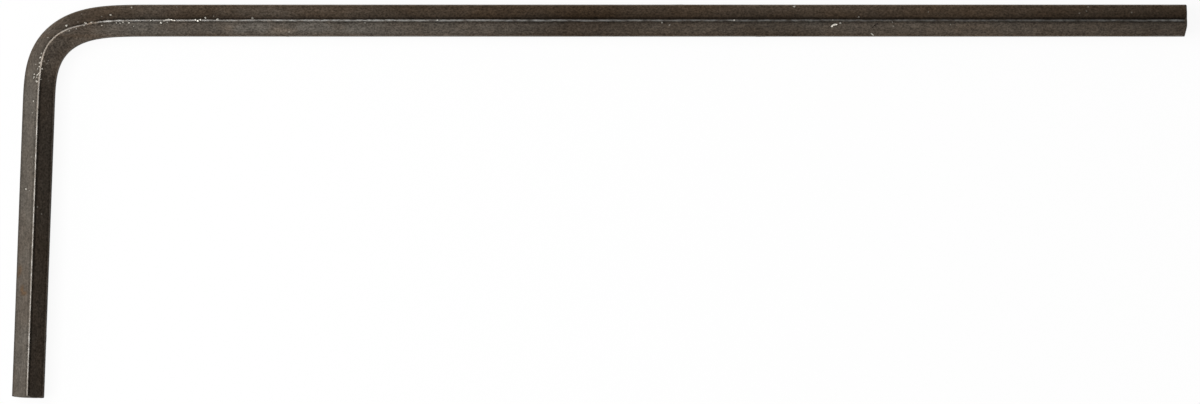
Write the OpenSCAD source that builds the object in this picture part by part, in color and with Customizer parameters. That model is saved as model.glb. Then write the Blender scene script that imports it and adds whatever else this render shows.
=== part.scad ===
// Hex key: one length of hexagonal steel bar, bent once into an L.
// It lies flat on its lower ridge. The long arm runs along +X, the short arm towards -Y.
// The flats face into and out of the bend, so a ridge runs along the top and another along the bottom.

/* [Bar] */
// Size across the flats
across_flats = 0.889; // [0.7:0.001:1.5]
// Radius of the bar's six rounded ridges
ridge_radius = 0.12; // [0.02:0.01:0.25]

/* [Arms] */
// Long arm, from the bend's outer corner to the tip
long_arm = 32.2; // [20:0.05:60]
// Short arm, from the bend's outer corner to the tip
short_arm = 10.9; // [9:0.05:25]

/* [Bend] */
// Turn from one arm to the other, in degrees
bend_turn = 87.9; // [75:0.1:105]
// Radius of the bend's inner side, where it is tightest
inside_radius = 0.88; // [0.5:0.01:1.8]
// Share of the turn that lies between the short arm and the tightest point
short_side_share = 0.32; // [0.3:0.01:0.7]
// Distance that the bending tool pushed the upper and lower ridges outwards
ridge_lean = 0.09; // [0:0.005:0.12]
// Where along the bend it pushed them most, as a share of the way from the short arm to the long one
lean_at = 0.38; // [0.3:0.01:0.7]
// How far along the bend it pushed them on each side of there, as a share of that way
lean_reach = 0.2; // [0.1:0.01:0.3]

/* [Long tip] */
// Width of the chamfer round the long tip, measured on a flat
long_tip_chamfer = 0.025; // [0.01:0.005:0.08]
// Length that the shears dragged down at the long tip's inner flat
long_tip_drag = 0.085; // [0.03:0.005:0.2]
// Width of the end face that the drag took with it
long_tip_drag_width = 0.28; // [0.1:0.01:0.45]

/* [Short tip] */
// Width of the chamfer round the short tip, measured on a flat
short_tip_chamfer = 0.03; // [0.01:0.005:0.08]
// Length that the shears dragged down at the short tip's outer flat
short_tip_drag = 0.05; // [0.03:0.005:0.2]
// Width of the end face that the drag took with it
short_tip_drag_width = 0.4; // [0.1:0.01:0.45]

/* [Smoothness] */
// Flat steps round each rounded ridge
ridge_steps = 4; // [2:1:6]
// Sections along the bend
bend_sections = 48; // [24:2:64]

/* [Hidden] */
steel = "#3a332c";

// The hexagon: half its size across the flats, the middle of each rounded ridge, and the ridge's own reach
half_flats = across_flats / 2;
ridge_centre = (half_flats - ridge_radius) / cos(30);
ridge_reach = ridge_centre + ridge_radius;
// Height of the tips of the side ridges above the middle
side_ridge_height = ridge_reach * sin(30);

// The middle of the bar bends at middle_radius where the bend is tightest. Steel keeps its volume there:
// the outer side stretches and thins, the inner side shortens and thickens, down to inside_radius.
// inner_squeeze is the root of the shortening at the inner side, which follows from that radius.
inner_squeeze = (sqrt(pow(half_flats, 2) + inside_radius * half_flats + pow(inside_radius, 2)) - half_flats)
    / inside_radius;
middle_radius = half_flats / (1 - pow(inner_squeeze, 2));

// The bend tightens smoothly from the short arm and eases smoothly into the long arm.
// The mean curvature of each half is this share of the curvature at the tightest point.
mean_share = 3 / 8;
turn_in = bend_turn * short_side_share;
turn_out = bend_turn - turn_in;
length_in = middle_radius / mean_share * turn_in * PI / 180;
length_out = middle_radius / mean_share * turn_out * PI / 180;
bend_length = length_in + length_out;
section_step = bend_length / bend_sections;

// Curvature at a share of a half's length, from none at the arm to the most at the tightest point
function curvature(share) = pow((1 - cos(180 * share)) / 2, 2) / middle_radius;
// Share of a half's turn that is done at a share of its length, which is the sum of that curvature
function eased(share) = share - 4 * sin(180 * share) / (3 * PI) + sin(360 * share) / (6 * PI);
// Place along the bend, as a share of the half that it lies in, counted from the arm
function half_share(along) = along < length_in ? along / length_in : (bend_length - along) / length_out;
// Direction of the bar at a length along the bend, with the long arm at 0 degrees
function heading(along) = along < length_in
    ? bend_turn - turn_in * eased(half_share(along))
    : turn_out * eased(half_share(along));
function direction(angle) = [cos(angle), sin(angle)];
function outward(angle) = [-sin(angle), cos(angle)];

// The bend's middle line, stepped along from where the short arm ends
bend_line = [for (i = 0, place = [0, 0];
    i <= bend_sections;
    place = place + section_step * direction(heading((i + 0.5) * section_step)), i = i + 1) place];

// The corner where the middle lines of the two arms cross, which is level with the long arm
corner = bend_line[bend_sections].y / sin(bend_turn) * direction(bend_turn);

// The arms are measured from the outer corner, which lies this far before the middle one along each arm
corner_offset = half_flats * tan(bend_turn / 2);
long_reach = long_arm - corner_offset;
short_reach = short_arm - corner_offset;
long_tip = corner + long_reach * direction(0);
short_tip = corner - short_reach * direction(bend_turn);

// Bar left past each tip for the shears to take off
offcut = 0.5;

// One section of the bar: points round the hexagon, as distances outwards and upwards from the middle line
hexagon = [for (ridge = [0 : 5], step = [0 : ridge_steps])
    let (facing = 30 + 60 * ridge, around = facing - 30 + 60 * step / ridge_steps)
    ridge_centre * direction(facing) + ridge_radius * direction(around)];

// How far the tool pushed a point of the section outwards: not at all from one side ridge down to the other,
// and then more and more, up to the whole push at the tips of the upper and lower ridges
function lean(up, push) = push * max(0, abs(up) - side_ridge_height) / (ridge_reach - side_ridge_height);
// The push on those tips at a share of the way along the bend
function ridge_push(share) = abs(share - lean_at) > lean_reach
    ? 0
    : ridge_lean * pow(cos(90 * (share - lean_at) / lean_reach), 2);

// Stretch of the steel at a distance outwards from the middle line, where the bar has that curvature
function stretch(out, bent) = 1 + bent * out;
// The same distance and height once the steel has thinned or thickened by that stretch
function bent_out(out, bent) = bent * half_flats < 1e-6
    ? out
    : 2 / bent * (sqrt(stretch(out, bent)) - 1);
function bent_up(out, up, bent) = up / sqrt(stretch(out, bent));

// A section set at a place on the middle line
function section(place, angle, bent, push) = [for (p = hexagon)
    let (out = p.x + lean(p.y, push), flat = place + bent_out(out, bent) * outward(angle))
    [flat.x, flat.y, bent_up(out, p.y, bent)]];

bar_sections = concat(
    [section(short_tip - offcut * direction(bend_turn), bend_turn, 0, 0)],
    [for (i = [0 : bend_sections])
        let (along = i * section_step)
        section(bend_line[i], heading(along), curvature(half_share(along)), ridge_push(along / bend_length))],
    [section(long_tip + offcut * direction(0), 0, 0, 0)]
);

// The key's own extents, which put its origin under the middle of its box
bend_points = [for (i = [1 : bend_sections + 1], p = bar_sections[i]) p];
tip_points = [
    short_tip + half_flats * outward(bend_turn) + short_tip_drag * direction(bend_turn),
    short_tip - (half_flats - short_tip_chamfer) * outward(bend_turn),
    long_tip
];
extent_x = [for (p = concat(bend_points, tip_points)) p.x];
extent_y = [for (p = concat(bend_points, tip_points)) p.y];
middle_x = (min(extent_x) + max(extent_x)) / 2;
middle_y = (min(extent_y) + max(extent_y)) / 2;
underside = min([for (p = bend_points) p.z]);

// A closed skin over sections that all have the same number of points
module skin(sections) {
    around = len(sections[0]);
    last = len(sections) - 1;
    walls = [for (i = [0 : last - 1], j = [0 : around - 1])
        let (a = i * around + j, b = i * around + (j + 1) % around)
        each [[a, a + around, b], [b, a + around, b + around]]];
    first_cap = [for (j = [0 : around - 1]) j];
    last_cap = [for (j = [around - 1 : -1 : 0]) last * around + j];
    polyhedron(points = [for (s = sections) each s], faces = concat(walls, [first_cap, last_cap]));
}

// The bar as it comes out of the bending tool, with spare length at both ends
module bent_bar() {
    skin(bar_sections);
}

// What comes off an end whose tip lies at the origin and points along +X.
// The shears leave a square end face, dragged down towards -Y, and a cone of 45 degrees chamfers its rim.
module end_waste(chamfer, drag, drag_width) {
    clear = 2 * ridge_reach;
    past_flat = (clear - half_flats) * drag / drag_width;
    rim = half_flats - chamfer;
    translate([0, 0, -clear])
        linear_extrude(2 * clear)
            polygon([
                [0, clear],
                [0, drag_width - half_flats],
                [-drag - past_flat, -clear],
                [2 * offcut, -clear],
                [2 * offcut, clear]
            ]);
    difference() {
        translate([-clear, -clear, -clear])
            cube([clear + offcut / 2, 2 * clear, 2 * clear]);
        rotate([0, 90, 0])
            translate([0, 0, -clear - chamfer])
                cylinder(h = clear + rim, r1 = rim + clear + chamfer, r2 = chamfer);
    }
}

module hex_key() {
    color(steel)
        translate([-middle_x, -middle_y, -underside])
            difference() {
                bent_bar();
                translate([long_tip.x, long_tip.y, 0])
                    end_waste(long_tip_chamfer, long_tip_drag, long_tip_drag_width);
                translate([short_tip.x, short_tip.y, 0])
                    rotate([0, 0, bend_turn + 180])
                        end_waste(short_tip_chamfer, short_tip_drag, short_tip_drag_width);
            }
}

hex_key();
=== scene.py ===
"""A small worn hex key, lying flat on a white table and seen from straight above.

The key is one piece of hexagonal steel bar with a dark brown-black oxide finish. This script builds its
surface again on the frame's own law, fine enough to hold the worn ridges, nicks and specks as real shapes.
Lengths are in millimetres up to the point where a mesh is made, which is in metres.
"""

from collections import namedtuple
from itertools import product
import math

import bmesh
import bpy
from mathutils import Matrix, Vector
import numpy as np


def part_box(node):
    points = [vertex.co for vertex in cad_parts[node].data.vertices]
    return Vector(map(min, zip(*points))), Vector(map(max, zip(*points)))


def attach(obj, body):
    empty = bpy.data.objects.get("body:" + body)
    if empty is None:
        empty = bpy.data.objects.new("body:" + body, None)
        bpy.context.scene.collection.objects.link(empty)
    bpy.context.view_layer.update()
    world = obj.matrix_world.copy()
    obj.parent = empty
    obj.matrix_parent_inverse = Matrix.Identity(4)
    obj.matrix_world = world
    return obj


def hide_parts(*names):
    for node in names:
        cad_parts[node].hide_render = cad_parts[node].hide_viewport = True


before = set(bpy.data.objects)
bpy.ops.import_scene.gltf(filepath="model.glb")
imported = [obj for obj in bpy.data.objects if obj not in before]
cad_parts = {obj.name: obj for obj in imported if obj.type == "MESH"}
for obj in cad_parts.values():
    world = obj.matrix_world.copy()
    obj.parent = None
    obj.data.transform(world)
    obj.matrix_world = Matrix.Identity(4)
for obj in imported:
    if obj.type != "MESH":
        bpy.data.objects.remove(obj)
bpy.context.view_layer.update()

MM = 0.001
NODE = "hex_key"

# The bar and its bend, as the frame has them
ACROSS_FLATS = 0.889
RIDGE_RADIUS = 0.12
LONG_ARM = 32.2
SHORT_ARM = 10.9
BEND_TURN = math.radians(87.9)
INSIDE_RADIUS = 0.88
SHORT_SIDE_SHARE = 0.32
RIDGE_LEAN = 0.09
LEAN_AT = 0.38
LEAN_REACH = 0.2
# The mean curvature of each half of the bend, as a share of the curvature at the tightest point
MEAN_SHARE = 3 / 8

# How each tip was cut: its chamfer, and how far and how wide the shears dragged the end face down.
# The drag lies towards the inner flat of the long arm and the outer flat of the short one. Both tips are a
# little sharper than the frame's, as the photograph shows them.
Tip = namedtuple("Tip", "chamfer drag drag_width drag_side")
LONG_TIP = Tip(chamfer=0.008, drag=0.065, drag_width=0.28, drag_side=-1)
SHORT_TIP = Tip(chamfer=0.01, drag=0.022, drag_width=0.22, drag_side=1)
# Width over which the faces of a tip run into each other
TIP_ROUNDING = 0.006

# The photograph: its size in pixels, the pixel where the key's own origin lies, and the size of a pixel
PHOTO_WIDTH, PHOTO_HEIGHT = 1200, 404
ORIGIN_PIXEL_X, ORIGIN_PIXEL_Y = 599.4, 201.4
BAR_PIXELS = 32.03
PIXEL = ACROSS_FLATS / BAR_PIXELS
# The lens bows the long arm, which begins at this pixel, by a pixel. Marks on it are moved back by this much
# at mid width, and less by this much for each squared pixel from there.
LONG_ARM_FROM = 100
LENS_BOW_AT_MIDDLE, LENS_BOW = 0.62, 5.3e-6

# The law of the bar's section and bend
HALF = ACROSS_FLATS / 2
RIDGE_CENTRE = (HALF - RIDGE_RADIUS) / math.cos(math.radians(30))
RIDGE_REACH = RIDGE_CENTRE + RIDGE_RADIUS
INNER_SQUEEZE = (math.sqrt(HALF**2 + INSIDE_RADIUS * HALF + INSIDE_RADIUS**2) - HALF) / INSIDE_RADIUS
MIDDLE_RADIUS = HALF / (1 - INNER_SQUEEZE**2)
TURN_IN = BEND_TURN * SHORT_SIDE_SHARE
TURN_OUT = BEND_TURN - TURN_IN
LENGTH_IN = MIDDLE_RADIUS / MEAN_SHARE * TURN_IN
LENGTH_OUT = MIDDLE_RADIUS / MEAN_SHARE * TURN_OUT
BEND_LENGTH = LENGTH_IN + LENGTH_OUT
CORNER_OFFSET = HALF * math.tan(BEND_TURN / 2)
SIDE_RIDGE_HEIGHT = RIDGE_REACH * math.sin(math.radians(30))
# Curvature times half the bar's width below which the bar counts as straight
STRAIGHT = 1e-6


def direction(angle):
    """The way along a bar that has that heading."""
    return np.stack([np.cos(angle), np.sin(angle)], -1)


def outward(angle):
    """The way across it, out of the bend."""
    return np.stack([-np.sin(angle), np.cos(angle)], -1)


def smooth_step(low, high, value):
    """0 up to low and 1 from high on, with a smooth rise between them."""
    share = np.clip((value - low) / (high - low), 0, 1)
    return share * share * (3 - 2 * share)


def bell(value, middle, reach):
    """1 at the middle, with a smooth fall to both sides."""
    return np.exp(-(((value - middle) / reach) ** 2))


def mix(a, b, share):
    return a + (b - a) * share


def smooth_max(a, b, blend):
    """The larger of two values, rounded over about that width where they meet."""
    return (a + b + np.sqrt((a - b) ** 2 + blend**2)) / 2


def half_share(along):
    """Place along the bend as a share of its half, from 0 at the arm to 1 at the tightest point."""
    share = np.where(along < LENGTH_IN, along / LENGTH_IN, (BEND_LENGTH - along) / LENGTH_OUT)
    return np.clip(share, 0, 1)


def heading(along):
    """Direction of the bar at a length along the bend, where the long arm has none."""
    share = half_share(along)
    eased = share - 4 * np.sin(np.pi * share) / (3 * np.pi) + np.sin(2 * np.pi * share) / (6 * np.pi)
    return np.where(along < LENGTH_IN, BEND_TURN - TURN_IN * eased, TURN_OUT * eased)


def curvature(along):
    return ((1 - np.cos(np.pi * half_share(along))) / 2) ** 2 / MIDDLE_RADIUS


class MiddleLine:
    """The bar's middle line, measured from the short tip, in the frame's own place."""

    STEPS = 960

    def __init__(self, frame_low, frame_high):
        self.lengths = np.linspace(0, BEND_LENGTH, self.STEPS + 1)
        middles = (self.lengths[1:] + self.lengths[:-1]) / 2
        steps = direction(heading(middles)) * (BEND_LENGTH / self.STEPS)
        bend = np.concatenate([[[0, 0]], np.cumsum(steps, 0)])
        corner = bend[-1, 1] / math.sin(BEND_TURN) * direction(BEND_TURN)
        self.short_run = SHORT_ARM - CORNER_OFFSET - math.hypot(*corner)
        self.long_run = LONG_ARM - CORNER_OFFSET - (bend[-1, 0] - corner[0])
        self.length = self.short_run + BEND_LENGTH + self.long_run
        # The long tip and the long arm's outer side are two faces of the frame's box.
        shift = np.array([frame_high[0] - bend[-1, 0] - self.long_run, frame_high[1] - HALF - bend[-1, 1]])
        self.bend = bend + shift

    def at(self, along):
        """Places, headings and curvatures at these lengths from the short tip."""
        past = along - self.short_run
        inside = np.clip(past, 0, BEND_LENGTH)
        place = np.stack([np.interp(inside, self.lengths, self.bend[:, i]) for i in (0, 1)], -1)
        angle = heading(inside)
        place = place + (past - inside)[..., None] * direction(angle)
        return place, angle, np.where(past == inside, curvature(inside), 0)

    def nearest(self, place):
        """Length from the short tip, and distance outwards, of a place in the plane of the key."""
        tries = np.linspace(0, self.length, 20001)
        places, angles, _ = self.at(tries)
        found = np.argmin(((places - place) ** 2).sum(1))
        return tries[found], float((np.asarray(place) - places[found]) @ outward(angles[found]))


low_mm, high_mm = (np.array(corner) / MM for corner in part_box(NODE))
line = MiddleLine(low_mm, high_mm)
LENGTH = line.length


def bend_share(along):
    """Place along the bar as a share of the bend's length, from 0 at the short arm to 1 at the long one."""
    return (along - line.short_run) / BEND_LENGTH


def lean(along, up):
    """How far the bending tool pushed the upper and lower ridges outwards."""
    away = (bend_share(along) - LEAN_AT) / LEAN_REACH
    push = RIDGE_LEAN * np.cos(np.pi / 2 * np.clip(away, -1, 1)) ** 2
    return push * np.maximum(0, np.abs(up) - SIDE_RIDGE_HEIGHT) / (RIDGE_REACH - SIDE_RIDGE_HEIGHT)


def bar_surface(along, out, up):
    """Points of the bar from their length along it and their place in the unbent section.

    Bent steel keeps its volume, so it thins and stretches on the bend's outer side and thickens on the inner.
    """
    place, angle, bent = line.at(along)
    out = out + lean(along, up)
    stretch = 1 + bent * out
    gentle = bent * HALF < STRAIGHT
    wide = np.where(gentle, out, 2 / np.where(gentle, 1, bent) * (np.sqrt(stretch) - 1))
    flat = place + wide[..., None] * outward(angle)
    return np.concatenate([flat, (RIDGE_REACH + up / np.sqrt(stretch))[..., None]], -1)


def end_setback(out, up, tip):
    """How far an end face lies back from its tip, at a place in the section."""
    dragged = tip.drag * (tip.drag_width - HALF + tip.drag_side * out) / tip.drag_width
    chamfered = np.hypot(out, up) - (HALF - tip.chamfer)
    return smooth_max(smooth_max(dragged, chamfered, TIP_ROUNDING), 0, TIP_ROUNDING)


# Noise that is the same in each run

def lattice(corner, seed):
    """A fixed random number from -1 to 1 at each whole-number point, scattered by large odd factors."""
    mixed = (corner.astype(np.int64) * (73856093, 19349663, 83492791)).sum(-1) + seed * 40503
    mixed = ((mixed ^ (mixed >> 13)) * 1274126177) & 0xFFFFFFFF
    return ((mixed ^ (mixed >> 15)) & 0xFFFF) / 0x7FFF - 1


def noise(points, size, seed):
    """Smooth noise from -1 to 1 with features of that size."""
    scaled = points / size
    corner = np.floor(scaled)
    part = scaled - corner
    part = part * part * (3 - 2 * part)
    total = np.zeros(len(points))
    for step in product((0, 1), repeat=3):
        weight = np.prod(np.where(np.array(step, bool), part, 1 - part), axis=1)
        total += weight * lattice(corner + step, seed)
    return total


# The marks that the photograph shows on the upper side. Places and widths are in its pixels. Shine is the
# share of bare metal, or of darker oxide where it is below 0, and height and depth are in millimetres.

Speck = namedtuple("Speck", "photo_x photo_y width shine height")
Scratch = namedtuple("Scratch", "photo_points width shine depth")

SPECKS = [
    # In the bend, on its way into the long arm
    Speck(67, 26, 2.2, 0.8, 0.010), Speck(86, 23, 2.0, 0.55, 0.008), Speck(84.5, 26, 1.5, 0.51, -0.006),
    Speck(78.5, 22, 1.4, 0.3, 0.005), Speck(92, 22, 3.0, 0.21, 0.006), Speck(76.5, 28.8, 1.7, 0.34, -0.006),
    Speck(69.5, 30.6, 1.5, 0.3, -0.005), Speck(48.5, 37.5, 1.5, 0.34, 0.006),
    Speck(82, 14, 1.4, 0.26, 0.005),
    # In the bend, on its way into the short arm
    Speck(41.9, 53.4, 1.7, 0.42, 0.006), Speck(40.8, 57.4, 2.4, 0.64, 0.009),
    Speck(40, 63, 2.1, 0.47, 0.007), Speck(39.5, 66.5, 1.7, 0.42, 0.006), Speck(38, 69, 1.7, 0.47, 0.007),
    Speck(39, 73.5, 1.5, 0.34, 0.005), Speck(34.7, 74.4, 1.5, 0.51, 0.007),
    Speck(37.8, 75, 2.2, 0.65, 0.009), Speck(34.5, 77.3, 2.0, 0.7, 0.011),
    Speck(37.2, 77.1, 1.6, 0.47, 0.008), Speck(37, 81.5, 2.4, 0.55, 0.010),
    Speck(36.2, 64.5, 1.4, 0.34, 0.005), Speck(48.6, 61, 1.8, 0.38, 0.006),
    Speck(47.7, 63.7, 1.6, 0.26, 0.005), Speck(45, 61.5, 1.4, 0.26, 0.005),
    Speck(43.2, 69, 1.7, 0.51, 0.006), Speck(42.1, 79.3, 1.5, 0.34, 0.005), Speck(49, 81, 1.1, 0.21, 0.004),
    # On the short arm
    Speck(33.8, 101.2, 2.0, 0.42, 0.007), Speck(33, 113, 1.5, 0.26, 0.005), Speck(32, 157, 1.6, 0.3, 0.006),
    Speck(26.5, 189, 2.0, 0.59, 0.008), Speck(29.8, 190.5, 1.4, 0.3, 0.005), Speck(38, 207, 1.6, 0.3, 0.005),
    Speck(42, 214, 1.5, 0.26, 0.004),
    # On the long arm, from the bend to its middle
    Speck(132, 8, 2.2, 0.51, 0.008), Speck(111.2, 15.6, 2.0, 0.64, 0.009),
    Speck(102, 17.5, 1.5, 0.42, 0.006), Speck(102.3, 26.3, 1.8, 0.47, -0.006),
    Speck(117, 24, 1.5, 0.51, -0.006), Speck(120.5, 24, 1.5, 0.51, -0.006),
    Speck(123.8, 23, 1.5, 0.64, 0.007), Speck(130, 23.6, 1.7, 0.64, 0.008),
    Speck(134.3, 27, 1.7, 0.59, 0.008), Speck(151.5, 21.4, 1.7, 0.9, 0.008),
    Speck(161.3, 23.6, 2.0, 0.85, 0.009), Speck(167.6, 23, 1.3, 0.42, -0.005),
    Speck(196, 20.2, 1.6, 0.8, 0.007), Speck(198.6, 21.4, 2.1, 0.95, 0.010),
    Speck(200.8, 20, 1.7, 0.85, 0.008), Speck(205.8, 18.2, 2.0, 0.8, 0.009),
    Speck(218, 19.3, 1.8, 0.51, 0.007), Speck(214.2, 16.6, 1.4, 0.38, 0.005),
    Speck(253, 18.2, 2.0, 0.47, 0.007), Speck(215.5, 28.5, 1.4, 0.21, 0.004),
    Speck(289.5, 32, 1.5, 0.26, 0.005), Speck(177, 7.6, 1.4, 0.21, 0.004),
    Speck(365, 22.6, 1.7, 0.26, -0.005), Speck(438, 20, 1.7, 0.34, 0.004),
    Speck(662, 22.3, 1.6, 0.42, 0.006), Speck(669.7, 24.6, 1.6, 0.38, 0.006),
    Speck(734.4, 19.8, 1.6, 0.38, 0.005),
    # On the long arm, from its middle to the tip
    Speck(794.3, 6.3, 2.2, 0.64, 0.008), Speck(840.2, 23, 1.7, 0.55, 0.008),
    Speck(832.5, 19.8, 1.4, 0.42, 0.005), Speck(858.4, 16.9, 1.5, 0.38, 0.005),
    Speck(892.2, 22.4, 1.6, 0.34, 0.005), Speck(893, 26, 2.0, 0.21, 0.005), Speck(928, 12, 1.4, 0.26, 0.004),
    Speck(950, 25, 1.5, 0.26, 0.005), Speck(1079, 14, 1.5, 0.3, 0.005), Speck(1086, 12, 1.4, 0.26, 0.004),
    Speck(1088, 7.6, 1.4, 0.26, 0.004), Speck(1131, 13.5, 1.8, 0.21, 0.004),
]
SCRATCHES = [
    # The brightest nick, a short arc dug into the lower flat
    Scratch([(831.4, 26.4), (832.6, 24.9), (834.2, 24.3), (836.4, 24.4)], 1.6, 1.0, 0.016),
    # Where the upper ridge is torn near the bend
    Scratch([(163.8, 21.6), (166.2, 20.6), (169.0, 20.0)], 1.1, 0.7, 0.006),
    Scratch([(169.8, 20.2), (172.4, 20.5), (174.8, 20.9)], 1.2, 0.95, 0.007),
    # Scratches across the lower flat
    Scratch([(871.2, 33.6), (873.2, 35.4)], 1.3, 0.8, 0.008),
    Scratch([(872.8, 27.2), (875.2, 25), (877.2, 23.9)], 1.3, -0.9, 0.010),
    Scratch([(852, 28.6), (862, 27.2)], 0.9, -0.35, 0.003),
]

# What differs between the outer and the inner flats, for the short and for the long arm: how light they are,
# which on the short arm is partly painted light, with the outer flat on the lamp's side lighter and the inner
# flat darker; how brown the oxide is; how much painted shade lies next to the ridges, which stands in for the
# dark reflection there and is strongest on the flats that face away from the light; and how strong its grain
# is
Flats = namedtuple("Flats", "outer inner")
LIGHTNESS_WITH_PAINTED_LIGHT = Flats(1.16, 0.82), Flats(0.89, 0.84)
BROWNNESS = Flats(0.1, 0.45), Flats(0.9, 0.45)
# Painted shade next to the ridges: strongest on the flats that face away from the light
PAINTED_SHADE_BESIDE = Flats(0.6, 1.4), Flats(1.0, 0.7)
GRAIN = Flats(0.6, 0.85), Flats(0.95, 1.0)
# Where in the bend the flats change from one arm's tones to the other's, as shares of its length
OUTER_CHANGE, INNER_CHANGE = (0.05, 0.8), (-0.1, 0.35)
# Distance from the ridge within which the outer and the inner flats' tones change into each other
SIDE_CHANGE = 0.06
# From where on a flat is slanted and not upright, as a share of the side ridges' height
SLANTED_FROM = 0.7
# How brown the upright flats and the end faces are, as a share of the mean of the slanted flats
UPRIGHT_BROWNNESS = 0.6
# Painted light: how fast the long arm's outer flat is painted lighter away from the ridge, standing in for
# its brighter reflection towards its edge
LONG_OUTER_PAINTED_RISE = 0.9
# How much lighter it is in the bend, and where, as shares of the bend's length
BEND_LIGHTER = Flats(0.25, 0.6)
BEND_LIGHTER_AT, BEND_LIGHTER_REACH = 0.36, 0.2
# How worn the ridges are on each arm, and how much less in the bend
SHORT_WEAR, LONG_WEAR, DULLER_IN_BEND = 0.8, 0.97, 0.53
# The share of that wear on the side ridges, and the heights between which it grows to all of it
SIDE_RIDGE_WEAR = 0.35
SIDE_TO_TOP = (0.6 * RIDGE_REACH, 0.9 * RIDGE_REACH)
# The worn line is narrower on the short arm, and its rims of painted shade too in the bend.
# Both are wider on the long arm.
NARROWER_ON_SHORT_ARM, NARROWER_IN_BEND, WIDER_ON_LONG_ARM = 0.9, 0.3, 0.2
# Where it changes from the short arm's width, and to the long arm's, as shares of the bend's length
SHORT_ARM_ENDS, LONG_ARM_BEGINS = (-0.1, 0.2), (1, 2.5)
# How far towards the outer flat the worn line lies on the short arm
WORN_OUTWARDS = 0.014
# Distances from the long tip between which the worn line fades
LINE_END = (0.04, 0.13)
# Where the ridges are more or less worn, over a length to each side in pixels of the photograph
RidgeWear = namedtuple("RidgeWear", "photo_x photo_y length more")
RIDGE_WEAR = [
    RidgeWear(39, 102, 18, -0.4), RidgeWear(50, 48, 14, -0.4), RidgeWear(91, 22.9, 5.5, -1.0),
    RidgeWear(112, 21.2, 15, 0.25), RidgeWear(156, 20.6, 18, -0.15), RidgeWear(400, 20.6, 150, 0.4),
    RidgeWear(880, 20.6, 170, -0.22), RidgeWear(1171, 20.6, 13, 0.9),
]

# How much two kinds of noise, of these sizes, fray the outlines of the patches
FRAYED, FRAYED_SIZE = 0.35, 0.25
FINELY_FRAYED, FINELY_FRAYED_SIZE = 0.2, 0.11
# Cloudy patches in the oxide. Length and width are half the patch's own, in pixels of the photograph.
Patch = namedtuple("Patch", "photo_x photo_y length width lighter browner")
PATCHES = [
    # On the long arm's outer flat: pale towards the bend, pale again past the middle, dark at the tip
    Patch(180, 12, 230, 30, 0.22, -0.1), Patch(258, 12, 34, 6, 0.1, -0.3),
    Patch(840, 12, 160, 20, 0.2, -0.15), Patch(1150, 14, 160, 20, -0.10, -0.1),
    Patch(1165, 28, 40, 20, -0.15, 0), Patch(145, 12, 32, 12, 0.12, -0.2), Patch(80, 17, 18, 8, -0.12, 0),
    Patch(785, 12, 50, 20, 0.12, -0.15), Patch(400, 12, 40, 20, -0.1, 0), Patch(548, 12, 36, 20, 0.08, -0.1),
    # On its inner flat: greyest and palest near the bend
    Patch(125, 30, 32, 20, 0.11, -0.2), Patch(206, 28, 26, 20, -0.15, 0.1),
    Patch(340, 28, 190, 20, 0.28, -0.25), Patch(229, 28.5, 4, 3, 0.35, 0.1),
    Patch(243, 29.5, 7, 2.5, 0.2, -0.5), Patch(256, 26.5, 11, 4, 0.15, -0.6),
    Patch(282, 31, 12, 3, 0.35, 0.1), Patch(315, 27, 14, 5, 0.15, -0.5), Patch(355, 29, 12, 5, 0.15, -0.1),
    Patch(345, 23, 14, 1.6, -0.35, 0), Patch(575, 27, 60, 20, -0.27, 0.1),
    Patch(775, 28, 50, 20, -0.27, 0.1), Patch(980, 28, 70, 20, 0.14, 0),
    # On the inner side of the bend
    Patch(51, 62, 10, 10, 0.24, 0), Patch(47, 112, 13, 10, 0.16, 0), Patch(46, 88, 9, 10, -0.1, 0),
    # Where its upper ridge is dull
    Patch(91, 22.7, 5.5, 3.2, 0.7, 0.1),
    # Along the edge of the inner flat
    Patch(640, 35.5, 900, 1.8, 0.02, 0.3),
    # Brown stains on the short arm, from the oxide bath
    Patch(22.5, 289, 3.5, 1.6, 0.25, 1.2), Patch(24.5, 292.5, 1.6, 3, 0.3, 1.3),
    Patch(20.5, 270, 4.5, 2, 0.1, 0.8), Patch(19, 275, 2, 1.5, 0.1, 0.8),
]


def in_key_frame(photo_x, photo_y):
    """Place in the plane of the key of a pixel of the photograph."""
    if photo_x > LONG_ARM_FROM:
        photo_y = photo_y + LENS_BOW_AT_MIDDLE - LENS_BOW * (photo_x - PHOTO_WIDTH / 2) ** 2
    return np.array([photo_x - ORIGIN_PIXEL_X, ORIGIN_PIXEL_Y - photo_y]) * PIXEL


def section_height(out):
    """Height of the section's upper side above its middle, at a distance outwards from the middle line."""
    shoulder = RIDGE_RADIUS * math.sin(math.radians(30))
    out = abs(out)
    if out < shoulder:
        return RIDGE_CENTRE + math.sqrt(RIDGE_RADIUS**2 - out**2)
    flat_start = RIDGE_CENTRE + RIDGE_RADIUS * math.cos(math.radians(30))
    return flat_start - (out - shoulder) * math.tan(math.radians(30))


# Share of the bar's half width within which a mark of the photograph may lie
SEEN_SHARE = 0.97


def on_upper_side(photo_x, photo_y):
    """The point of the bar's upper side that the photograph shows at a pixel."""
    along, wide = line.nearest(in_key_frame(photo_x, photo_y))
    bent = float(line.at(np.array([along]))[2][0])
    leaned = wide if bent * HALF < STRAIGHT else ((1 + bent * wide / 2) ** 2 - 1) / bent
    out = leaned
    # The lean depends on the height, so its place is found in a few rounds, clear of the side ridges
    for _ in range(4):
        out = leaned - float(lean(along, section_height(out)))
        out = max(-SEEN_SHARE * HALF, min(SEEN_SHARE * HALF, out))
    return bar_surface(*(np.array([value]) for value in (along, out, section_height(out))))[0]


# The key's surface

# Steps round each ridge and across each flat, and lengths between rings along the arms and along the bend
ARC_STEPS, FLAT_STEPS = 8, 7
RING_STEP, BEND_RING_STEP = 0.09, 0.055
# Length of bar at each tip over which the rings go from the cut's slope to square
TIP_RUN = 0.45
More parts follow.
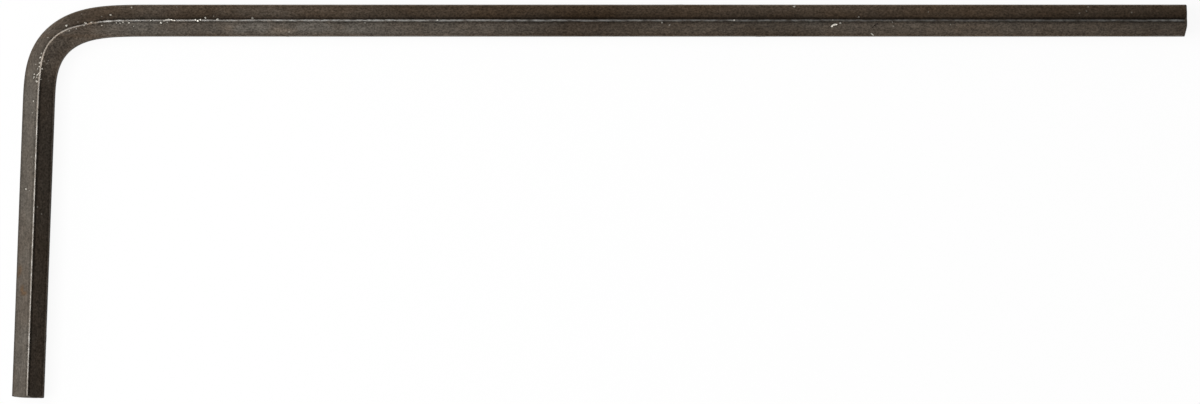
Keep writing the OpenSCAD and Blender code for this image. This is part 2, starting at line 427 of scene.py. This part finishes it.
# Rings close to a tip, as distances from its edge, and rings on the end face, as shares of the section
TIP_RINGS = [0, 0.004, 0.009, 0.016, 0.026, 0.04, 0.06, 0.085, 0.12, 0.17, 0.23, 0.3, 0.37]
CAP_RINGS = [0.975, 0.955, 0.93, 0.9, 0.87, 0.84, 0.8, 0.75, 0.68, 0.6, 0.5, 0.38, 0.24, 0.1]
# Radius of the edge round an end face
EDGE_ROUND = 0.009


def section_columns():
    """Points round the unbent section, as distances outwards and upwards from its middle."""
    points = []
    for facing in range(30, 390, 60):
        middle = RIDGE_CENTRE * direction(math.radians(facing))
        for step in range(ARC_STEPS + 1):
            around = math.radians(facing - 30 + 60 * step / ARC_STEPS)
            points.append(middle + RIDGE_RADIUS * direction(around))
        start = points[-1]
        next_middle = RIDGE_CENTRE * direction(math.radians(facing + 60))
        end = next_middle + RIDGE_RADIUS * direction(math.radians(facing + 30))
        points += [start + (end - start) * step / FLAT_STEPS for step in range(1, FLAT_STEPS)]
    return np.array(points)


def evenly(start, end, step):
    return list(np.linspace(start, end, max(2, round((end - start) / step) + 1))[:-1])


def tip_rings(columns, tip):
    """Rings from a tip's end face back along the wall: distance from the tip, and place in the section."""
    rings = []
    for share in CAP_RINGS[::-1]:
        out, up = (columns * share).T
        rings.append((end_setback(out, up, tip), out, up))
    for back in TIP_RINGS:
        lift = max(0, EDGE_ROUND - back)
        inset = EDGE_ROUND - math.sqrt(EDGE_ROUND**2 - lift**2)
        out, up = (columns * (1 - inset / HALF)).T
        edge = end_setback(out, up, tip)
        rings.append((back + edge * (1 - back / TIP_RUN), out, up))
    return rings


def key_rings():
    """All rings of the key from the short tip to the long one, each as along, out and up for every column."""
    columns = section_columns()
    short_rings = [np.stack(ring) for ring in tip_rings(columns, SHORT_TIP)]
    long_rings = [np.stack([LENGTH - back, out, up]) for back, out, up in tip_rings(columns, LONG_TIP)][::-1]
    bend_start, bend_end = line.short_run, line.short_run + BEND_LENGTH
    alongs = evenly(TIP_RUN, bend_start, RING_STEP)
    alongs += evenly(bend_start, bend_end, BEND_RING_STEP)
    alongs += evenly(bend_end, LENGTH - TIP_RUN, RING_STEP) + [LENGTH - TIP_RUN]
    wall = [np.stack([np.full(len(columns), along), *columns.T]) for along in alongs]
    return np.array(short_rings + wall + long_rings)


def key_base_mesh():
    """The key as it came from the bending tool, with each vertex's along, out and up kept on the mesh."""
    rings = key_rings()
    count, around = rings.shape[0], rings.shape[2]
    values = np.moveaxis(rings, 1, 2).reshape(-1, 3)
    ends = np.array([
        [end_setback(0, 0, SHORT_TIP), 0, 0],
        [LENGTH - end_setback(0, 0, LONG_TIP), 0, 0],
    ])
    values = np.concatenate([values, ends])
    index = np.arange(count * around).reshape(count, around)
    after = np.roll(index, -1, axis=1)
    quads = np.stack([index[:-1], after[:-1], after[1:], index[1:]], -1).reshape(-1, 4).tolist()
    first, last = count * around, count * around + 1
    fans = [[first, b, a] for a, b in zip(index[0], after[0])]
    fans += [[last, a, b] for a, b in zip(index[-1], after[-1])]
    mesh = bpy.data.meshes.new("worn_hex_key")
    mesh.from_pydata(bar_surface(*values.T).tolist(), [], quads + fans)
    for name, column in zip(("along", "out", "up"), values.T):
        mesh.attributes.new(name, "FLOAT", "POINT").data.foreach_set("value", column.astype(np.float32))
    return mesh


def read(mesh, name):
    """A mesh's own values: its vertices' places, their normals or one of its attributes."""
    if name in ("co", "normal"):
        found = np.zeros(len(mesh.vertices) * 3, np.float32)
        source = mesh.vertices if name == "co" else mesh.vertex_normals
        source.foreach_get("co" if name == "co" else "vector", found)
        return found.reshape(-1, 3).astype(float)
    found = np.zeros(len(mesh.vertices), np.float32)
    mesh.attributes[name].data.foreach_get("value", found)
    return found.astype(float)


def write(mesh, name, values, kind="FLOAT"):
    layer = mesh.attributes.get(name) or mesh.attributes.new(name, kind, "POINT")
    field = "vector" if kind == "FLOAT_VECTOR" else "value"
    layer.data.foreach_set(field, np.asarray(values, np.float32).ravel())


# A mark on the mesh: the points of its middle line, its half width, its depth (raised where negative), how
# much bare metal it shows, and how much darker the oxide is there
Mark = namedtuple("Mark", "points half_width depth bare dark")


def photo_marks():
    marks = []
    for speck in SPECKS:
        point = on_upper_side(speck.photo_x, speck.photo_y)
        marks.append(Mark([point], speck.width * PIXEL / 2, -speck.height, speck.shine, 0))
    for scratch in SCRATCHES:
        points = [on_upper_side(*pixel) for pixel in scratch.photo_points]
        bare, dark = max(scratch.shine, 0), max(-scratch.shine, 0)
        marks.append(Mark(points, scratch.width * PIXEL / 2, scratch.depth, bare, dark))
    return marks


# Marks on the sides that the photograph doesn't show: how many, the share of them that are specks, how far
# they stay from the tips and below what height, and from how much to how much the rest is drawn
SCATTERED, SPECK_SHARE, CLEAR_OF_TIPS = 46, 0.7, 0.6
HIDDEN_BELOW = 0.2 * HALF
SCRATCH_LENGTHS = (0.05, 0.3)
SPECK_HALF_WIDTHS, SCRATCH_HALF_WIDTHS = (0.014, 0.03), (0.01, 0.016)
SCATTERED_DEPTHS, SCATTERED_BARE = (0.003, 0.008), (0.15, 0.7)


def scattered_marks(chance):
    """Specks, nicks and short scratches on the sides that the photograph doesn't show."""
    columns = section_columns()
    columns = columns[columns[:, 1] < HIDDEN_BELOW]
    marks = []
    for _ in range(SCATTERED):
        along = chance.uniform(CLEAR_OF_TIPS, LENGTH - CLEAR_OF_TIPS)
        column = chance.integers(len(columns))
        speck = chance.random() < SPECK_SHARE
        run = [along] if speck else [along, along + chance.uniform(*SCRATCH_LENGTHS)]
        slant = [column, (column + chance.integers(-1, 2)) % len(columns)]
        points = [bar_surface(np.array([at]), *columns[slant[end], :, None])[0] for end, at in enumerate(run)]
        half_width = chance.uniform(*(SPECK_HALF_WIDTHS if speck else SCRATCH_HALF_WIDTHS))
        depth = chance.uniform(*SCATTERED_DEPTHS) * chance.choice([-1, 1])
        marks.append(Mark(points, half_width, depth, chance.uniform(*SCATTERED_BARE), 0))
    return marks


def distance_to(points, mark):
    """Distance of each point from a mark's middle line."""
    found = np.linalg.norm(points - mark.points[0], axis=1)
    for start, end in zip(mark.points[:-1], mark.points[1:]):
        way = end - start
        share = np.clip((points - start) @ way / (way @ way), 0, 1)
        found = np.minimum(found, np.linalg.norm(points - start - share[:, None] * way, axis=1))
    return found


def close_to(points, mark, margin):
    """Which points lie in a mark's box with a margin round it."""
    box = np.array(mark.points)
    return np.nonzero(((points > box.min(0) - margin) & (points < box.max(0) + margin)).all(1))[0]


# How far beyond a mark's edge its faces are split, the first time and then in finer and finer steps
REFINED_REACH = [0.075, 0.042, 0.022]


def refine(mesh, marks):
    """Splits the faces round each mark in four, three times over, in narrower and narrower reach."""
    for reach in REFINED_REACH:
        centres = np.zeros(len(mesh.polygons) * 3, np.float32)
        mesh.polygons.foreach_get("center", centres)
        centres = centres.reshape(-1, 3).astype(float)
        near = np.zeros(len(centres), bool)
        for mark in marks:
            close = close_to(centres, mark, reach + mark.half_width)
            near[close[distance_to(centres[close], mark) < reach + mark.half_width]] = True
        bm = bmesh.new()
        bm.from_mesh(mesh)
        bm.faces.ensure_lookup_table()
        edges = {edge for face in np.nonzero(near)[0] for edge in bm.faces[face].edges}
        edges = sorted(edges, key=lambda edge: edge.index)
        bmesh.ops.subdivide_edges(bm, edges=edges, cuts=1, use_grid_fill=True)
        bmesh.ops.triangulate(bm, faces=[face for face in bm.faces if len(face.verts) > 4])
        bm.to_mesh(mesh)
        bm.free()


# How far the flats are crowned and wavy, and how far the ridges are worn down in places
CROWN = 0.006
WAVE_HEIGHT, WAVE_SIZE = 0.0006, 0.5
RIDGE_LOSS, RIDGE_LOSS_WIDTH = 0.0035, 0.045
LOSS_SIZE, FINE_LOSS_SIZE = 0.5, 0.16


def wall_lift(bar, ridge, reach):
    """How far the walls stand off the plain bar, by each vertex's distance from its ridge and the middle."""
    flat_half = HALF * math.tan(math.radians(30))
    shoulder = RIDGE_RADIUS / 2
    lift = -CROWN * np.clip(1 - ridge / flat_half, 0, 1) ** 2
    lift += CROWN / flat_half / shoulder * np.clip(shoulder - ridge, 0, shoulder) ** 2
    lift += WAVE_HEIGHT * noise(bar * (0.4, 1, 1), WAVE_SIZE, 1)
    on_ridge = bell(ridge, 0, RIDGE_LOSS_WIDTH) * smooth_step(0.75 * HALF, HALF, reach)
    drawn = bar * (1, 0.3, 0.3)
    loss = np.maximum(0, noise(drawn, LOSS_SIZE, 2) + 0.5 * noise(drawn, FINE_LOSS_SIZE, 3))
    return lift - RIDGE_LOSS * loss * on_ridge


# The shears left fine grooves where they entered an end face, and tore the rest of it
GROOVE_DEPTH, GROOVE_SIZE = 0.0012, 0.035
TEAR_DEPTH, TEAR_SIZE = 0.0045, 0.12
FINE_TEAR_DEPTH, FINE_TEAR_SIZE = 0.003, 0.06
# Half the width over which the grooves give way to tears, and how far that line strays
TORN_CHANGE, TORN_STRAYS, TORN_STRAYS_SIZE = 0.15, 0.25, 0.3


def end_lift(bar, drag_side):
    """How far the end faces stand off their cut."""
    entry = bar[:, 1] * drag_side / HALF + TORN_STRAYS * noise(bar, TORN_STRAYS_SIZE, 9)
    torn = 1 - smooth_step(-TORN_CHANGE, TORN_CHANGE, entry)
    grooves = GROOVE_DEPTH * noise(bar * (1, 0.12, 1), GROOVE_SIZE, 7)
    tears = TEAR_DEPTH * noise(bar, TEAR_SIZE, 8) + FINE_TEAR_DEPTH * (noise(bar, FINE_TEAR_SIZE, 10) - 1)
    return mix(grooves, tears, torn)


# A mark in its own half widths: how far its outline is pulled about and how ragged it is, where it stops
# showing metal, and the places and widths of its raised rim and of the painted shadow round it, and how dark
# that is
OUTLINE_PULL, OUTLINE_PULL_SIZE = 0.6, 1.1
OUTLINE_RAGGED, OUTLINE_RAGGED_SIZE = 0.35, 0.6
METAL_EDGE = (0.75, 1.1)
RIM_AT, RIM_WIDTH, RIM_HEIGHT = 1.25, 0.3, 0.15
PAINTED_SHADOW_AT, PAINTED_SHADOW_WIDTH, PAINTED_SHADOW_SHARE = 1.5, 0.4, 0.75


def press_marks(points, marks):
    """What the marks do to each vertex: how far they lift it, how bare they leave it, and how dark, with a
    painted shadow round each bare mark.
    """
    lift, bare, dark = np.zeros((3, len(points)))
    for number, mark in enumerate(marks):
        close = close_to(points, mark, 3 * mark.half_width)
        spot = points[close]
        pull = [noise(spot, OUTLINE_PULL_SIZE * mark.half_width, 3 * number + axis) for axis in range(3)]
        spot_pulled = spot + OUTLINE_PULL * mark.half_width * np.stack(pull, -1)
        far = distance_to(spot_pulled, mark) / mark.half_width
        far = far + OUTLINE_RAGGED * noise(spot, OUTLINE_RAGGED_SIZE * mark.half_width, number)
        core = np.clip(1 - far**2, 0, 1) ** 1.5
        lift[close] += RIM_HEIGHT * abs(mark.depth) * bell(far, RIM_AT, RIM_WIDTH) - mark.depth * core
        shown = 1 - smooth_step(*METAL_EDGE, far)
        # A painted shadow round each mark that shows metal
        painted_shadow_rim = PAINTED_SHADOW_SHARE * mark.bare * bell(far, PAINTED_SHADOW_AT, PAINTED_SHADOW_WIDTH)
        bare[close] = np.maximum(bare[close], mark.bare * shown)
        dark[close] = np.maximum(dark[close], np.maximum(mark.dark * shown, painted_shadow_rim))
    return lift, bare, dark


def worn_line(along, past_ridge, up):
    """Distance from the nearest ridge's worn line, and how much narrower that line is than its rims.

    The distance is drawn out where both the line and its rims of painted shade are narrower.
    """
    share = bend_share(along)
    on_short = 1 - smooth_step(*SHORT_ARM_ENDS, share)
    narrower = 1 + NARROWER_IN_BEND * bell(share, LEAN_AT, LEAN_REACH)
    narrower -= WIDER_ON_LONG_ARM * smooth_step(*LONG_ARM_BEGINS, share)
    away = np.abs(past_ridge + WORN_OUTWARDS * on_short * np.sign(up))
    return narrower * away, 1 + NARROWER_ON_SHORT_ARM * on_short


def ridge_wear(along, on_long):
    """How worn the ridges are: less in the bend, more or less in places, and dull at the long tip."""
    worn = mix(SHORT_WEAR, LONG_WEAR, on_long)
    worn = worn * (1 - DULLER_IN_BEND * bell(bend_share(along), LEAN_AT, LEAN_REACH))
    for place in RIDGE_WEAR:
        middle = line.nearest(in_key_frame(place.photo_x, place.photo_y))[0]
        worn = worn * (1 + place.more * bell(along, middle, place.length * PIXEL))
    return worn * smooth_step(*LINE_END, LENGTH - along)


def patch_share(patch, points, frayed):
    """How much of a patch there is at each point, round a middle on the upper side."""
    centre = on_upper_side(patch.photo_x, patch.photo_y)
    away = (points - centre) / PIXEL
    heads = np.abs(line.at(np.array([line.nearest(centre[:2])[0]]))[1][0])
    lengthwise = (away[:, :2] @ direction(heads)) / patch.length
    crosswise = (away[:, :2] @ outward(heads)) / patch.width
    return np.exp(-((lengthwise**2 + crosswise**2) * frayed) ** 1.5)


def oxide_tones(along, out, up, points, on_end):
    """How light, brown and grained the oxide is, with some painted light in how light the flats are, how much
    painted shade lies next to the ridges, and how worn they are.

    The upright flats and the end faces lie halfway between the outer and the inner flats. The underside is
    like the upper side, with its two flats the other way round.
    """
    share = bend_share(along)
    outer_on_long, inner_on_long = smooth_step(*OUTER_CHANGE, share), smooth_step(*INNER_CHANGE, share)
    slanted = smooth_step(SLANTED_FROM * SIDE_RIDGE_HEIGHT, SIDE_RIDGE_HEIGHT, np.abs(up)) * (1 - on_end)
    side = smooth_step(-SIDE_CHANGE, SIDE_CHANGE, out * np.where(up < 0, -1, 1) * slanted)
    # The flats' tones, with painted light on the short arm's flats and painted shade next to the ridges
    light, brown, beside, grained = (
        mix(mix(short.inner, long.inner, inner_on_long), mix(short.outer, long.outer, outer_on_long), side)
        for short, long in (LIGHTNESS_WITH_PAINTED_LIGHT, BROWNNESS, PAINTED_SHADE_BESIDE, GRAIN)
    )
    brown = brown * mix(UPRIGHT_BROWNNESS, 1, slanted)
    in_bend = bell(share, BEND_LIGHTER_AT, BEND_LIGHTER_REACH)
    light = light * (1 + mix(BEND_LIGHTER.inner, BEND_LIGHTER.outer, side) * in_bend)
    # Painted light across the long arm's outer flat, lighter away from the ridge
    from_ridge = np.abs(out) / HALF - 0.5
    light = light * (1 + LONG_OUTER_PAINTED_RISE * from_ridge * side * outer_on_long * (1 - on_end))
    frayed = 1 + FRAYED * noise(points, FRAYED_SIZE, 5) + FINELY_FRAYED * noise(points, FINELY_FRAYED_SIZE, 6)
    for patch in PATCHES:
        there = patch_share(patch, points, frayed) * (up > 0)
        light = light * (1 + patch.lighter * there)
        brown = brown + patch.browner * there
    on_top = mix(SIDE_RIDGE_WEAR, 1, smooth_step(*SIDE_TO_TOP, np.abs(up)))
    worn = ridge_wear(along, outer_on_long) * on_top
    return {"light": light, "brown": brown, "beside": beside * on_top, "grained": grained, "ridge_wear": worn}


# Up to this far behind the cut a vertex is on the end face, and from this far on it is on a wall
END_TO, WALL_FROM = 0.002, 0.009


def wear(mesh, marks):
    """Moves the vertices for the marks, worn ridges and rough tips, and keeps what the finish needs."""
    points, normals = read(mesh, "co"), read(mesh, "normal")
    along, out, up = (read(mesh, name) for name in ("along", "out", "up"))
    bar = np.stack([along, out, up], -1)
    reach = np.hypot(out, up)
    past_ridge = reach * np.sin(np.arctan2(up, out) % math.radians(60) - math.radians(30))
    on_short_end = along < LENGTH / 2
    setback = np.where(on_short_end, end_setback(out, up, SHORT_TIP), end_setback(out, up, LONG_TIP))
    on_end = 1 - smooth_step(END_TO, WALL_FROM, np.minimum(along, LENGTH - along) - setback)
    drag_side = np.where(on_short_end, SHORT_TIP.drag_side, LONG_TIP.drag_side)
    lift, bare, dark = press_marks(points, marks)
    lift += mix(wall_lift(bar, np.abs(past_ridge), reach), end_lift(bar, drag_side), on_end)
    points = points + lift[:, None] * normals
    # Nothing goes below the table
    points[:, 2] = np.maximum(points[:, 2], 0)
    mesh.vertices.foreach_set("co", (points * MM).astype(np.float32).ravel())
    away, fineness = worn_line(along, past_ridge, up)
    kept = oxide_tones(along, out, up, points, on_end)
    kept.update(ridge_mm=away + HALF * on_end, fineness=fineness, sheared=on_end, bare=bare, dark=dark)
    write(mesh, "bar_mm", bar, "FLOAT_VECTOR")
    for name, values in kept.items():
        write(mesh, name, values)
    mesh.update()


def make_key():
    marks = photo_marks() + scattered_marks(np.random.default_rng(11))
    mesh = key_base_mesh()
    refine(mesh, marks)
    wear(mesh, marks)
    mesh.shade_smooth()
    key = bpy.data.objects.new("worn_hex_key", mesh)
    bpy.context.scene.collection.objects.link(key)
    return key


# The finish

def add(tree, kind, inputs=None, **settings):
    """A new shader node. Inputs are plain values or the sockets that feed them."""
    made = tree.nodes.new("ShaderNode" + kind)
    for name, value in settings.items():
        setattr(made, name, value)
    for name, value in (inputs or {}).items():
        if isinstance(value, bpy.types.NodeSocket):
            tree.links.new(value, made.inputs[name])
        else:
            made.inputs[name].default_value = value
    return made


def empty_tree(owner):
    owner.use_nodes = True
    owner.node_tree.nodes.clear()
    return owner.node_tree


def grain(tree, place, stretch, scale, detail=3.0, roughness=0.55, stretch_out=1):
    """Noise with as many features a millimetre as scale says, drawn out along the bar and across it."""
    squeeze = (1 / stretch, 1 / stretch_out, 1)
    drawn = add(tree, "VectorMath", {0: place, 1: squeeze}, operation="MULTIPLY").outputs[0]
    made = add(tree, "TexNoise", {"Vector": drawn, "Scale": scale, "Detail": detail, "Roughness": roughness})
    return made.outputs[0]


def ranged(tree, value, low, high, to_low=0.0, to_high=1.0):
    """A smooth step from one result at low to the other at high."""
    inputs = {0: value, 1: low, 2: high, 3: to_low, 4: to_high}
    return add(tree, "MapRange", inputs, interpolation_type="SMOOTHSTEP").outputs[0]


def spread(tree, noisy, least, most, reach=0.2):
    """Noise, which lies round a half and mostly within that reach, spread from the least to the most."""
    return ranged(tree, noisy, 0.5 - reach, 0.5 + reach, least, most)


def sum_of(tree, a, b):
    return add(tree, "Math", {0: a, 1: b}, operation="ADD").outputs[0]


def times(tree, a, b):
    return add(tree, "Math", {0: a, 1: b}, operation="MULTIPLY").outputs[0]


def mixed(tree, share, a, b):
    """Mix of two numbers."""
    return add(tree, "Mix", {0: share, 2: a, 3: b}, data_type="FLOAT").outputs[0]


def blend(tree, share, a, b):
    """Mix of two colours."""
    made = add(tree, "Mix", data_type="RGBA")
    for socket, value in ((made.inputs[0], share), (made.inputs[6], a), (made.inputs[7], b)):
        if isinstance(value, bpy.types.NodeSocket):
            tree.links.new(value, socket)
        else:
            socket.default_value = value
    return made.outputs[2]


# Colours of the finish: oxide at its greyest and at its brownest, the darkest oxide where it is dug into and
# for the painted shadow round the marks, then metal that is worn, bare and cut
GREY_OXIDE, BROWN_OXIDE = (0.104, 0.092, 0.078, 1), (0.1, 0.066, 0.041, 1)
DUG_OXIDE_AND_PAINTED_SHADOW = (0.012, 0.009, 0.007, 1)
WORN_METAL, BARE_METAL, CUT_METAL = (0.55, 0.55, 0.53, 1), (0.84, 0.80, 0.71, 1), (0.3, 0.29, 0.27, 1)
# From how much to how much each kind of grain changes the oxide
PATCH_BROWNNESS = (-0.12, 0.12)
MOTTLE_SHADE, CLOUD_SHADE, DRAWN_SHADE = (0.35, 1.65), (0.89, 1.11), (0.93, 1.07)
# How much metal the worn line shows, and from where to where it fades, as distances from its middle
LINE_METAL, LINE_FADE = (0.08, 0.36), (0.01, 0.032)
# How much painted shade darkens the oxide next to it, standing in for the room's dark reflection there, and
# from where to where
PAINTED_RIM_SHADE, PAINTED_RIM_SHADE_FADE = 0.55, (0.04, 0.1)
# How much metal the marks show, and how much the grooves of the end faces, from where to where
MARK_METAL, CUT_SHOWN, CUT_FADE = (0.6, 1.1), 0.35, (0.5, 0.75)
OXIDE_METALLIC, MARK_METALLIC = 0.8, 0.35
OXIDE_ROUGHNESS = (0.3, 0.38)
# Height of the fine bumps, with the clouds' and the cuts' shares in it
BUMP_HEIGHT, CLOUD_BUMP, CUT_BUMP = 0.002, 1.5, 2

# What the mesh keeps at its vertices for the finish
KEPT = "ridge_mm fineness bare dark light brown beside grained ridge_wear sheared".split()


def oxide_steel():
    """Dark oxide with grain and clouds, with painted shade next to the worn ridges, and metal where it is
    rubbed off.
    """
    material = bpy.data.materials.new("worn_black_oxide")
    tree = empty_tree(material)
    place = add(tree, "Attribute", attribute_name="bar_mm").outputs["Vector"]
    kept = {name: add(tree, "Attribute", attribute_name=name).outputs["Fac"] for name in KEPT}
    patches = grain(tree, place, stretch=2, scale=1.5, detail=4)
    clouds = grain(tree, place, stretch=1.5, scale=6)
    mottle = grain(tree, place, stretch=1.2, scale=20, roughness=0.7)
    drawn = grain(tree, place, stretch=30, scale=28, detail=2)
    breaks = grain(tree, place, stretch=3, scale=10, detail=4, roughness=0.7)
    glints = grain(tree, place, stretch=1, scale=45, detail=1)
    grooves = grain(tree, place, stretch=1, scale=45, detail=2, stretch_out=9)

    inputs = {0: kept["brown"], 1: spread(tree, patches, *PATCH_BROWNNESS)}
    brownness = add(tree, "Math", inputs, operation="ADD", use_clamp=True).outputs[0]
    oxide = blend(tree, brownness, GREY_OXIDE, BROWN_OXIDE)
    mottled = mixed(tree, kept["grained"], 1.0, spread(tree, mottle, *MOTTLE_SHADE, reach=0.3))
    shade = times(tree, mottled, kept["light"])
    shade = times(tree, shade, spread(tree, clouds, *CLOUD_SHADE))
    shade = times(tree, shade, spread(tree, drawn, *DRAWN_SHADE))
    # Painted shade next to the ridges, which stands in for the room's dark reflection there
    darker = times(tree, kept["beside"], ranged(tree, kept["ridge_mm"], *PAINTED_RIM_SHADE_FADE, PAINTED_RIM_SHADE, 0))
    shade = times(tree, shade, mixed(tree, darker, 1.0, 0.0))
    oxide = add(tree, "VectorMath", {0: oxide, 3: shade}, operation="SCALE").outputs[0]
    # Dark scratches, and the painted shadow round the marks
    oxide = blend(tree, kept["dark"], oxide, DUG_OXIDE_AND_PAINTED_SHADOW)

    near_line = ranged(tree, times(tree, kept["ridge_mm"], kept["fineness"]), *LINE_FADE, 1, 0)
    broken = spread(tree, breaks, *LINE_METAL, reach=0.15)
    worn = times(tree, times(tree, near_line, broken), kept["ridge_wear"])
    worn = times(tree, worn, ranged(tree, kept["dark"], 0, 1, 1, 0))
    colour = blend(tree, worn, oxide, WORN_METAL)
    bare = times(tree, kept["bare"], spread(tree, glints, *MARK_METAL))
    colour = blend(tree, bare, colour, BARE_METAL)

    cuts = times(tree, kept["sheared"], grooves)
    colour = blend(tree, times(tree, ranged(tree, cuts, *CUT_FADE), CUT_SHOWN), colour, CUT_METAL)
    height = sum_of(tree, sum_of(tree, mottle, times(tree, clouds, CLOUD_BUMP)), times(tree, cuts, CUT_BUMP))
    bump = add(tree, "Bump", {"Strength": 1.0, "Distance": BUMP_HEIGHT * MM, "Height": height})
    metallic = mixed(tree, bare, ranged(tree, worn, 0, 1, OXIDE_METALLIC, 1.0), MARK_METALLIC)
    shader = add(tree, "BsdfPrincipled", {
        "Base Color": colour,
        "Metallic": metallic,
        "Specular IOR Level": 0.3,
        "Specular Tint": (0.15, 0.14, 0.13, 1),
        "Roughness": spread(tree, mottle, *OXIDE_ROUGHNESS),
        "Normal": bump.outputs[0],
    })
    out = add(tree, "OutputMaterial")
    tree.links.new(shader.outputs[0], out.inputs[0])
    return material


# The table, the light and the camera

# Half the table's side, in metres, and how much of what the camera sees of it is plain white
TABLE_HALF = 4.0
TABLE_WHITE = 0.93


def make_floor():
    """A white table. To the camera and in reflections it shows white, with a little of the key's shadow."""
    mesh = bpy.data.meshes.new("floor")
    corners = [(x * TABLE_HALF, y * TABLE_HALF, 0) for x, y in ((-1, -1), (1, -1), (1, 1), (-1, 1))]
    mesh.from_pydata(corners, [], [(0, 1, 2, 3)])
    floor = bpy.data.objects.new("floor", mesh)
    bpy.context.scene.collection.objects.link(floor)
    material = bpy.data.materials.new("white_table")
    tree = empty_tree(material)
    rays = add(tree, "LightPath").outputs
    seen = rays["Is Camera Ray"]
    for kind in ("Is Glossy Ray", "Is Transmission Ray"):
        seen = add(tree, "Math", {0: seen, 1: rays[kind]}, operation="MAXIMUM").outputs[0]
    matt = add(tree, "BsdfDiffuse", {"Color": (0.95, 0.95, 0.95, 1)})
    white = add(tree, "Emission", {"Color": (1, 1, 1, 1), "Strength": 1.0})
    share = times(tree, seen, TABLE_WHITE)
    surface = add(tree, "MixShader", {0: share, 1: matt.outputs[0], 2: white.outputs[0]})
    out = add(tree, "OutputMaterial")
    tree.links.new(surface.outputs[0], out.inputs[0])
    mesh.materials.append(material)


# The room as the key mirrors it: walls, brighter in front than behind, with a bright panel on the left and a
# dark one on the right, over a white horizon and under a dark ceiling that begins 35 degrees above it
WALL_FRONT, WALL_BACK, WALL_TURN = 0.92, 0.42, 0.4
WALL_FOOT, FOOT_FROM, FOOT_TO = 0.45, 0.1, 0.42
PANEL_FROM, PANEL_TO = 0.6, 0.85
BRIGHT_PANEL, DARK_PANEL = 0.5, -0.5
CEILING_LEVEL, CEILING_FROM, CEILING_TO = 0.1, 0.58, 0.74
HORIZON_FROM, HORIZON_TO = 0.03, 0.015


def make_world():
    world = bpy.data.worlds.new("room")
    bpy.context.scene.world = world
    tree = empty_tree(world)
    way = add(tree, "SeparateXYZ", {0: add(tree, "TexCoord").outputs["Generated"]})
    walls = ranged(tree, way.outputs["Y"], -WALL_TURN, WALL_TURN, WALL_FRONT, WALL_BACK)
    walls = sum_of(tree, walls, ranged(tree, way.outputs["X"], -PANEL_TO, -PANEL_FROM, BRIGHT_PANEL, 0))
    walls = sum_of(tree, walls, ranged(tree, way.outputs["X"], PANEL_FROM, PANEL_TO, 0, DARK_PANEL))
    walls = times(tree, walls, ranged(tree, way.outputs["Z"], FOOT_FROM, FOOT_TO, WALL_FOOT, 1))
    ceiling = ranged(tree, way.outputs["Z"], CEILING_FROM, CEILING_TO)
    horizon = ranged(tree, way.outputs["Z"], HORIZON_TO, HORIZON_FROM, 1, 0)
    level = mixed(tree, ceiling, walls, CEILING_LEVEL)
    level = mixed(tree, horizon, level, 1.0)
    background = add(tree, "Background", {"Color": (1, 1, 1, 1), "Strength": level})
    out = add(tree, "OutputWorld")
    tree.links.new(background.outputs[0], out.inputs[0])


def make_lamp(name, place, size, radiance):
    """A soft lamp that faces the key, with its brightness as seen from the key."""
    data = bpy.data.lights.new(name, "AREA")
    data.shape = "RECTANGLE"
    data.size, data.size_y = size[0] * MM, size[1] * MM
    data.energy = radiance * math.pi * data.size * data.size_y
    lamp = bpy.data.objects.new(name, data)
    lamp.location = Vector(place) * MM
    lamp.rotation_mode = "QUATERNION"
    lamp.rotation_quaternion = lamp.location.to_track_quat("Z", "Y")
    lamp.visible_camera = False
    bpy.context.scene.collection.objects.link(lamp)


# A long lens and its sensor, in millimetres, so that the key shows with hardly any perspective
CAMERA_LENS, SENSOR = 432.35, 36


def make_camera():
    """Straight above the key, and as wide as the photograph where the bar is widest."""
    data = bpy.data.cameras.new("camera")
    data.sensor_width = SENSOR
    data.lens = CAMERA_LENS
    data.clip_start = 0.01
    camera = bpy.data.objects.new("camera", data)
    distance = PHOTO_WIDTH * PIXEL * CAMERA_LENS / SENSOR
    x = (PHOTO_WIDTH / 2 - ORIGIN_PIXEL_X) * PIXEL
    y = (ORIGIN_PIXEL_Y - PHOTO_HEIGHT / 2) * PIXEL
    camera.location = Vector((x, y, RIDGE_REACH + distance)) * MM
    bpy.context.scene.collection.objects.link(camera)
    bpy.context.scene.camera = camera


make_camera()
key = make_key()
key.data.materials.append(oxide_steel())
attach(key, "root")
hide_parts(NODE)
make_floor()
make_world()
make_lamp("window", place=(-50, 5, 100), size=(85, 55), radiance=7.1)
bpy.context.scene.view_settings.view_transform = "Standard"
